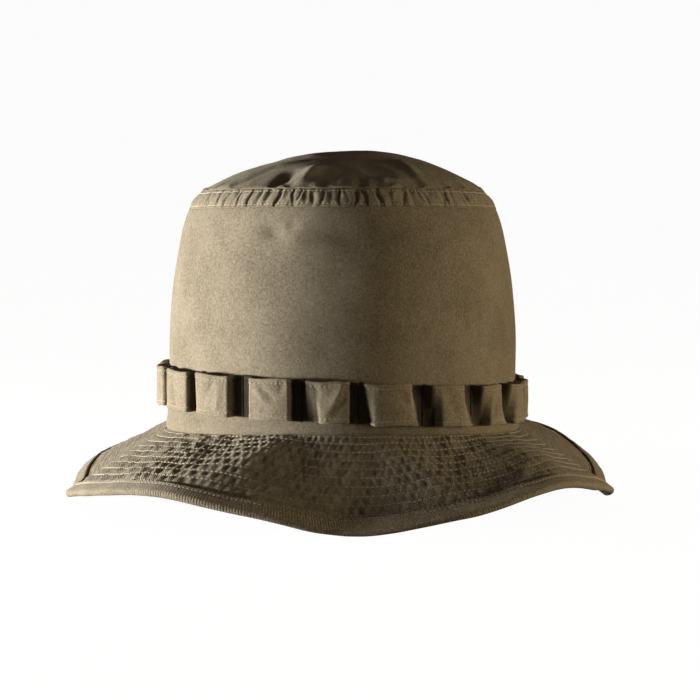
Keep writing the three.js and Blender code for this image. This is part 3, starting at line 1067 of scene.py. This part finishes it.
@dataclass
class LoopStrap:
    """The strap sewn round the band so that it stands out in open loops."""

    thickness: float = 1.15
    inside: float = 1.75
    room: float = 2.8
    room_corner: float = 2.9
    slant: float = 0.8
    bend: float = 0.75
    half_turn: float = 6.9
    count: int = 20
    cells: int = 60
    noise: ClothNoise = field(default_factory=lambda: ClothNoise(59))
    # A crease lies on a loop's front, in millimetres across and up from its middle
    shaped: tuple[LoopShape, ...] = (
        LoopShape((-64.5, -50.8), (-64.5, -50.8), (Fold((-2, 6), (1, -7), 1.6, -0.5),), 0.4),
        LoopShape(
            (-47.4, -33.2), (-46.8, -33.2),
            (Fold((2, 9), (-4, 0), 2.0, -0.6), Fold((6, 4), (3, -6), 2.2, 0.5)), 0.5,
        ),
        LoopShape(
            (-27.7, -14.3), (-27.7, -14.3),
            (Fold((-9, 7), (1, -2), 2.2, 0.6), Fold((-6, 8), (5, -3), 1.9, -0.5),
             Fold((8, 8), (5, 1), 2.2, -0.4), Fold((7, 2), (2, -7), 2.6, 0.4)), 0.2,
        ),
        LoopShape(
            (-10.9, 2.5), (-6.9, 2.2),
            (Fold((-8, 8), (-3, -1), 1.9, -0.6), Fold((7, 8), (0, -3), 2.2, 0.7),
             Fold((9, 6), (3, -5), 2.0, -0.5), Fold((-5, 3), (-2, -8), 2.2, 0.4)), 0.3,
        ),
        LoopShape(
            (5.8, 20.4), (8.2, 22.6),
            (Fold((-8, -2), (6, -5), 2.2, -0.35), Fold((2, 8), (7, 0), 2.0, -0.5)), 0.6, 0.3,
        ),
        LoopShape((24.6, 37.2), (28.2, 41.1), (Fold((-4, 7), (3, -5), 2.2, -0.5),), 0.5),
        LoopShape((42.6, 53.0), (46.6, 56.4), (Fold((3, 7), (-2, -6), 2.0, -0.4),), 0.5),
        LoopShape((57.2, 69.4), (61.0, 73.2), (), 0.5),
    )  # fmt: skip

    def loops(self) -> list[LoopShape]:
        """Every loop round the hat: the shaped ones at the front, then the plain ones over the rest."""
        loops = list(self.shaped)
        first, last = loops[0].mean + 360, loops[-1].mean
        plain = self.count - len(loops)
        draw = np.random.default_rng(71)
        for i in range(1, plain + 1):
            centre = last + (first - last) * i / (plain + 1)
            lean, wide = draw.uniform(-0.7, 0.7), self.half_turn + draw.uniform(-0.25, 0.25)
            x, y = draw.uniform(-6, 6, 2)
            creases = (
                Fold((x, 8), (x + y * 0.6, -4), 2.0, draw.uniform(-0.8, -0.3)),
                Fold((-x, 3), (-y, -8), 2.3, draw.uniform(0.2, 0.6)),
            )
            top = (centre - wide + lean, centre + wide + lean)
            foot = (centre - wide - lean, centre + wide - lean)
            loops.append(LoopShape(top, foot, creases, draw.uniform(0.2, 0.7), draw.uniform(-0.4, 0.4)))
        return loops

    def tack(self, here: LoopShape, there: LoopShape) -> float:
        """The turn halfway between two neighbours' facing walls."""
        gap = here.mean - there.mean
        turned = 360 * round(gap / 360)
        mine, other = (1, 0) if gap < turned else (0, 1)
        return (here.top[mine] + here.foot[mine] + there.top[other] + there.foot[other] + 2 * turned) / 4

    def path(self, loop: LoopShape, sides: tuple[float, float], tacks: tuple[float, float]) -> Array:
        """The strap's middle line at one level of a loop.

        Args:
            loop: the loop's shape.
            sides: the turns of its left and right sides at that level.
            tacks: the turns where it is sewn down on each side of the loop.

        Returns:
            Rows of turn, stand-off and length along the line.
        """
        left, right = sides
        inside = self.inside + self.thickness / 2
        corner = abs(math.sin(math.radians(2 * loop.middle)))
        stand = inside + self.room + self.room_corner * corner + loop.room
        wall, slant = self.thickness / 2 / loop.pace, self.slant / loop.pace
        span = right - left
        knots = np.array(
            [
                (tacks[0] + 0.1, inside),
                (left + wall, inside),
                (left + wall + slant, stand - 0.3),
                (left + span * 0.3, stand + loop.belly * 0.7),
                (left + span * 0.5, stand + loop.belly),
                (right - span * 0.3, stand + loop.belly * 0.7),
                (right - wall - slant, stand - 0.3),
                (right - wall, inside),
                (tacks[1] - 0.1, inside),
            ]
        )
        flat = knots * (loop.pace, 1.0)
        length = np.concatenate([[0], np.cumsum(np.linalg.norm(np.diff(flat, axis=0), axis=1))])
        fine = np.linspace(0, length[-1], 401)
        points = np.stack([np.interp(fine, length, flat[:, k]) for k in range(2)], -1)
        reach = max(1, int(self.bend / (fine[1] - fine[0])))
        weights = np.hanning(2 * reach + 3)[1:-1]
        weights /= weights.sum()
        padded = np.concatenate([np.repeat(points[:1], reach, 0), points, np.repeat(points[-1:], reach, 0)])
        soft = np.stack([np.convolve(padded[:, k], weights, "valid") for k in range(2)], -1)
        return np.column_stack([soft[:, 0] / loop.pace, soft[:, 1], fine])

    def build(self, cotton: bpy.types.Material, thread: bpy.types.Material) -> None:
        """Makes every loop and the stitches along both of its edges."""
        loops = self.loops()
        lines: list[bpy.types.Mesh] = []
        pieces: list[tuple[bpy.types.Object, float]] = []
        for i, loop in enumerate(loops):
            tacks = (self.tack(loop, loops[i - 1]), self.tack(loop, loops[(i + 1) % len(loops)]))
            foot, top = (self.path(loop, sides, tacks) for sides in (loop.foot, loop.top))
            cloth = LoopCloth(loop, foot, top, self.noise, self.thickness)
            cut = (cloth.length * MM, 0.042)
            mesh = bent_grid(f"foliage_loop_{i + 1:02d}", self.cells, cloth.cells_up, cloth.place, cut)
            with reworked(mesh) as bm:
                bmesh.ops.holes_fill(bm, edges=bm.edges, sides=0)
                bmesh.ops.recalc_face_normals(bm, faces=bm.faces)
            pieces.append((put(mesh, cotton, (f"strap_loop_{i + 1:02d}",)), cloth.length))
            lines += cloth.stitch_lines(Thread())
        seam = put(joined("strap_stitches", lines), thread)
        for i, (piece, length) in enumerate(pieces):
            also = [seam] if i == 0 else []


# ---------------------------------------------------------------- the brim and its binding


@dataclass
class Brim(RingCloth):
    """The brim: two plies sewn in close rows, puckered between them by washing."""

    thickness: float = 1.9
    stations: int = 1060
    rows: int = 44
    inner: float = -1.5
    outer: float = 58.8
    seam_row: float = 3.0
    first_row: float = 7.6
    pitch: float = 5.4
    row_count: int = 9
    pinch: float = 0.36
    # Puckers in two crossing slants, small ones, long wrinkles, broad waves, and the quilting's cells
    blocks: Ripple = Ripple(1, 4.4, 1, start=30, longer=MID_BRIM)
    crossed: Ripple = Ripple(1, 4.4, 1, start=60, longer=MID_BRIM)
    fine: Ripple = Ripple(1, 2.9, 0.5, start=11, longer=MID_BRIM)
    slanted: Ripple = Ripple(1, 9, 24, start=3, longer=MID_BRIM)
    broad: Ripple = Ripple(1, 24, 30, start=7, longer=MID_BRIM)
    quilting: Ripple = Ripple(0.62, 4.6, 1, longer=MID_BRIM)
    noise: ClothNoise = field(default_factory=lambda: ClothNoise(83))
    puckers: KnotCurve = KnotCurve(
        ((-180, 0.5), (-100, 0.45), (-75, 0.5), (-62, 0.75), (-50, 1.15), (-38, 1.2), (-28, 0.8),
         (-16, 0.55), (8, 0.46), (25, 0.48), (40, 0.44), (60, 0.42), (85, 0.4), (120, 0.45)),
        period=360.0,
    )  # fmt: skip

    # Long soft ridges: turn at the seam, turn at the edge, half-width and height
    ridges: tuple[tuple[float, float, float, float], ...] = (
        (-16.0, -27.0, 16.0, 4.3),
        (12.0, 25.0, 9.0, 1.7),
        (41.0, 52.0, 10.0, 1.4),
        (150.0, 140.0, 14.0, 2.0),
        (-120.0, -131.0, 14.0, 1.8),
    )
    ridge_end: float = 52.0

    def sheet(self, turn: Array, share: Array) -> Array:
        """The middle of the brim's cloth, from its outer edge in to the seam."""
        out = self.out(share)
        points = FORM.brim(turn, out)
        along = FORM.along(turn)
        swell = np.sin(np.pi * np.clip(out / self.ridge_end, 0, 1))
        for at_seam, at_edge, wide, tall in self.ridges:
            crest = FORM.along(at_seam + (at_edge - at_seam) * out / self.ridge_end)
            points[..., 2] += tall * swell * bump_at(FORM.gap(along, crest) * (1 + out / 130), wide)
        return points

    def out(self, share: Array) -> Array:
        """The distance out from the seam at a share."""
        return self.outer + (self.inner - self.outer) * share

    @property
    def stitch_rows(self) -> list[float]:
        """How far out each row of stitches lies."""
        return [self.seam_row, *(self.first_row + self.pitch * k for k in range(self.row_count))]

    def held(self, out: Array) -> Array:
        """1 on a row of stitches and 0 between them."""
        return np.clip(sum(bump_at(out - row, 0.85) for row in self.stitch_rows), 0, 1)

    def lift(self, turn: Array, share: Array) -> Array:
        """The puckers between the rows, and the longer slanted wrinkles through them."""
        out = self.out(share)
        along = FORM.along(turn) / FORM.girth
        row = (out - self.first_row) / self.pitch + 0.5
        blocks = self.blocks.at(self.noise, along, row, shift=0.5 * row)
        crossed = self.crossed.at(self.noise, along, row, shift=-0.5 * row)
        fine = self.fine.at(self.noise, along, row)
        slanted = self.slanted.at(self.noise, along, out, shift=out * 0.055)
        broad = self.broad.at(self.noise, along, out, shift=out * 0.01)
        between = np.sin(np.pi * (row - 0.5)) ** 2
        phase = 2 * np.pi * along * self.quilting.cells + np.pi * np.floor(row + 0.5) + 1.6 * slanted
        quilt = self.quilting.height * between * np.sin(phase) * (0.75 + 0.5 * broad)
        rough = np.tanh(0.75 * blocks + 0.7 * crossed) * 0.7 + 0.45 * fine
        drawn = (quilt + rough) * self.puckers.at(turn) + 0.42 * slanted
        free = 1 - 0.62 * self.held(out)
        start = np.clip((out - 1.6) / 2.4, 0, 1)
        return (drawn * free + 0.3 * broad) * start * np.clip((self.outer - out) / 6, 0, 1)

    def half(self, turn: Array, share: Array) -> Array:
        """Half of the two plies' thickness, pinched where they are sewn."""
        out = self.out(share)
        pinch = self.pinch * self.held(out) * np.clip((out - 1.2) / 1.5, 0, 1)
        thin = np.clip((self.outer - out) / 8, 0, 1)
        return (self.thickness / 2 - pinch) * (0.7 + 0.3 * thin)

    def build(self, cotton: bpy.types.Material, thread: bpy.types.Material) -> None:
        """Makes the brim and its rows of stitches."""
        piece = put(self.mesh("stitched_brim"), cotton, ("brim",))
        shares = ((out - self.outer) / (self.inner - self.outer) for out in self.stitch_rows)
        seams = self.stitched("brim_stitches", Thread(radius=0.28, stitch=2.4, proud=0.17), shares, thread)
        edge = (2 * (FORM.half_length + self.outer) + 6) * MM
        inner, slimmer = 2 * FORM.half_width * MM, 0.018
        area = math.pi / 4 * (edge * (edge - slimmer) - inner * (inner + slimmer))
        flat = (edge - slimmer, edge)


@dataclass
class BrimBinding(RingCloth):
    """The tape folded round the brim's edge, with fine ribs and a raised inner edge."""

    width: float = 8.0
    thickness: float = 0.85
    inside: float = 0.98
    stations: int = 1000
    rows: int = 34
    stitch_in: float = 1.6
    above_floor: float = 0.02
    ribs: Ripple = Ripple(1, 2.5, 1 / 3.2, start=4, longer=BRIM_EDGE)
    slow: Ripple = Ripple(0.22, 13, 0.5, start=9, longer=BRIM_EDGE)
    noise: ClothNoise = field(default_factory=lambda: ClothNoise(97))
    ribbing: KnotCurve = KnotCurve(
        ((-180, 0.1), (-115, 0.2), (-88, 0.34), (-72, 0.2), (-54, 0.02), (0, 0.01), (60, 0.015), (88, 0.12)),
        period=360.0,
    )

    @property
    def tape(self) -> float:
        """The width of the flat tape, with its fold."""
        return 2 * self.width + 1.2

    def centre_line(self, share: Array) -> tuple[Array, Array]:
        """The fold's section: how far out, and how far above the brim's middle, from under it to on top."""
        mid = self.inside + self.thickness / 2
        run = self.width - mid
        bend = math.pi * mid
        s = share * (2 * run + bend)
        angle = np.clip((s - run) / mid, 0, np.pi)
        start = FORM.brim_width - self.width
        out = np.where(s < run, start + s, start + run + mid * np.sin(angle))
        out = np.where(s > run + bend, start + run - (s - run - bend), out)
        return out, -mid * np.cos(angle)

    def sheet(self, turn: Array, share: Array) -> Array:
        """The middle of the binding's cloth."""
        out, above = self.centre_line(share)
        across = FORM.brim(turn, out + 0.5) - FORM.brim(turn, out - 0.5)
        along = FORM.brim(turn + 0.5, out) - FORM.brim(turn - 0.5, out)
        normal = np.cross(across, along)
        normal /= np.linalg.norm(normal, axis=-1, keepdims=True)
        points = FORM.brim(turn, out) + normal * above[..., None]
        points[..., 2] = np.maximum(points[..., 2], self.thickness / 2 + self.above_floor)
        return points

    def lift(self, turn: Array, share: Array) -> Array:
        """The ribs that the folded tape is drawn into, and its raised inner edges."""
        along = FORM.along(turn) / FORM.girth
        fold = bump_at((share - 0.5) * self.tape, 3.0)
        ribs = self.ribs.at(self.noise, along, share) * (0.4 + 0.6 * fold)
        slow = self.slow.at(self.noise, along, share)
        edge = np.minimum(share, 1 - share) * self.tape
        cord = 0.42 * bump_at(edge - 0.55, 0.6) - 0.25 * bump_at(edge - self.stitch_in, 0.55)
        rests = np.clip((self.sheet(turn, share)[..., 2] - 0.6) / 1.5, 0, 1)
        return (self.ribbing.at(turn) * ribs + slow) * rests + cord * ((share > 0.5) + 0.1)

    def half(self, turn: Array, share: Array) -> Array:
        """Half of the cloth's thickness, rounded at its edges."""
        return self.thickness / 2 * rounded(share, 2 * self.width, 0.6, 0.15)

    def build(self, cotton: bpy.types.Material, thread: bpy.types.Material) -> None:
        """Makes the binding and its row of stitches, with nothing of it below the floor."""
        mesh = self.mesh("brim_edge_binding")
        points = mesh_points(mesh)
        points[:, 2] = np.maximum(points[:, 2], 0.0)
        mesh.vertices.foreach_set("co", points.astype(np.float32).ravel())
        mesh.update()
        piece = put(mesh, cotton, ("brim_binding",))
        shares = [1 - self.stitch_in / self.tape]
        seam = self.stitched("binding_stitches", Thread(radius=0.28), shares, thread)
        flat = ((FORM.girth + BRIM_EDGE) * MM, self.tape * MM)


# ---------------------------------------------------------------- the studio


@dataclass(frozen=True)
class Lamp:
    """A soft rectangular lamp that faces the hat: its place and size in metres, its power and its tint."""

    name: str
    place: tuple[float, float, float]
    size: tuple[float, float]
    power: float
    tint: Colour
    aim: tuple[float, float, float] = (0, 0, 0.09)

    def build(self) -> None:
        """Sets up the lamp."""
        light = bpy.data.lights.new(self.name, "AREA")
        light.shape = "RECTANGLE"
        light.size, light.size_y = self.size
        light.energy = self.power
        light.color = self.tint
        lamp = bpy.data.objects.new(self.name, light)
        lamp.location = self.place
        lamp.rotation_euler = (Vector(self.aim) - lamp.location).to_track_quat("-Z", "Y").to_euler()
        bpy.context.scene.collection.objects.link(lamp)


@dataclass(frozen=True)
class Studio:
    """The pale floor, the soft lights and the camera."""

    camera_away: float = 1000.0
    camera_height: float = 137.5
    camera_side: float = 3.7
    aim_height: float = 77.2
    lens: float = 97.7
    floor_size: float = 12.0
    floor_paint: Colour = (0.12, 0.115, 0.11)
    floor_tones: tuple[Colour, Colour] = ((0.17, 0.17, 0.17), (0.19, 0.19, 0.19))
    floor_glow: float = 0.965
    fill_tint: Colour = (1.0, 0.86, 0.70)
    fill: float = 0.075
    backdrop: float = 0.97
    lamps: tuple[Lamp, ...] = (
        Lamp("left_window", (-1.25, -0.07, 0.05), (0.66, 0.10), 44.0, (0.94, 0.965, 0.965)),
        Lamp("right_bounce", (1.3, -0.12, 0.06), (0.9, 0.25), 14.0, (1.0, 0.875, 0.61)),
    )

    def floor(self) -> None:
        """A wide pale floor, which looks brighter to the camera than it is to the hat."""
        mesh = bpy.data.meshes.new("studio_floor")
        with reworked(mesh) as bm:
            bmesh.ops.create_grid(bm, x_segments=1, y_segments=1, size=self.floor_size / 2)
        sheet = NodeSheet(bpy.data.materials.new("studio_floor_paint"))
        grain = sheet.noise(sheet.node("ShaderNodeTexCoord", out="Object"), 4.0, 2.0)
        seen = sheet.node("ShaderNodeLightPath", out="Is Camera Ray")
        paint = sheet.node("ShaderNodeBsdfDiffuse", {0: self.floor_paint + (1,)})
        lit = sheet.node("ShaderNodeBsdfDiffuse", {0: sheet.mixed(grain, *self.floor_tones)})
        glow = sheet.node("ShaderNodeEmission", {0: WHITE, 1: self.floor_glow})
        both = sheet.node("ShaderNodeAddShader", {0: lit, 1: glow})
        skin = sheet.node("ShaderNodeMixShader", {0: seen, 1: paint, 2: both})
        sheet.node("ShaderNodeOutputMaterial", {0: skin})
        mesh.materials.append(sheet.owner)
        floor = bpy.data.objects.new("studio_floor", mesh)
        bpy.context.scene.collection.objects.link(floor)

    def world(self) -> None:
        """Even white behind the hat, and only a dim warm fill on it."""
        sheet = NodeSheet(bpy.data.worlds.new("studio_world"))
        seen = sheet.node("ShaderNodeLightPath", out="Is Camera Ray")
        dim = sheet.node("ShaderNodeBackground", {0: self.fill_tint + (1,), 1: self.fill})
        white = sheet.node("ShaderNodeBackground", {0: WHITE, 1: self.backdrop})
        sky = sheet.node("ShaderNodeMixShader", {0: seen, 1: dim, 2: white})
        sheet.node("ShaderNodeOutputWorld", {0: sky})
        bpy.context.scene.world = sheet.owner

    def camera(self) -> None:
        """The camera, level with the hat's crown and looking a little down at it."""
        cx, cy = FORM.axis
        at = Vector((cx + self.camera_side, cy - self.camera_away, self.camera_height)) * MM
        aim = Vector((cx + self.camera_side, cy, self.aim_height)) * MM
        data = bpy.data.cameras.new("studio_camera")
        data.lens = self.lens
        data.sensor_width = 36.0
        data.clip_end = 100.0
        camera = bpy.data.objects.new("studio_camera", data)
        camera.location = at
        camera.rotation_euler = (aim - at).to_track_quat("-Z", "Y").to_euler()
        bpy.context.scene.collection.objects.link(camera)
        bpy.context.scene.camera = camera

    def build(self) -> None:
        """Sets up the whole studio."""
        self.camera()
        self.floor()
        self.world()
        for lamp in self.lamps:
            lamp.build()
        bpy.context.scene.view_settings.view_transform = "Standard"


def main() -> None:
    """Builds the studio and every piece of the hat."""
    logging.basicConfig(level=logging.INFO, format="%(message)s")
    Studio().build()
    crown = CROWN_COTTON.build()
    gathered = GATHERED_COTTON.build()
    strap = STRAP_COTTON.build()
    stitched = BRIM_COTTON.build()
    band = BAND_COTTON.build()
    folded = BINDING_COTTON.build()
    thread = SEWING_THREAD.build()
    CrownWall().build(crown)
    GatheredStrip().build(gathered, thread)
    TopPanel().build(crown)
    HatBand().build(band)
    LoopStrap().build(strap, thread)
    Brim().build(stitched, thread)
    BrimBinding().build(folded, thread)


if __name__ == "__main__":
    main()
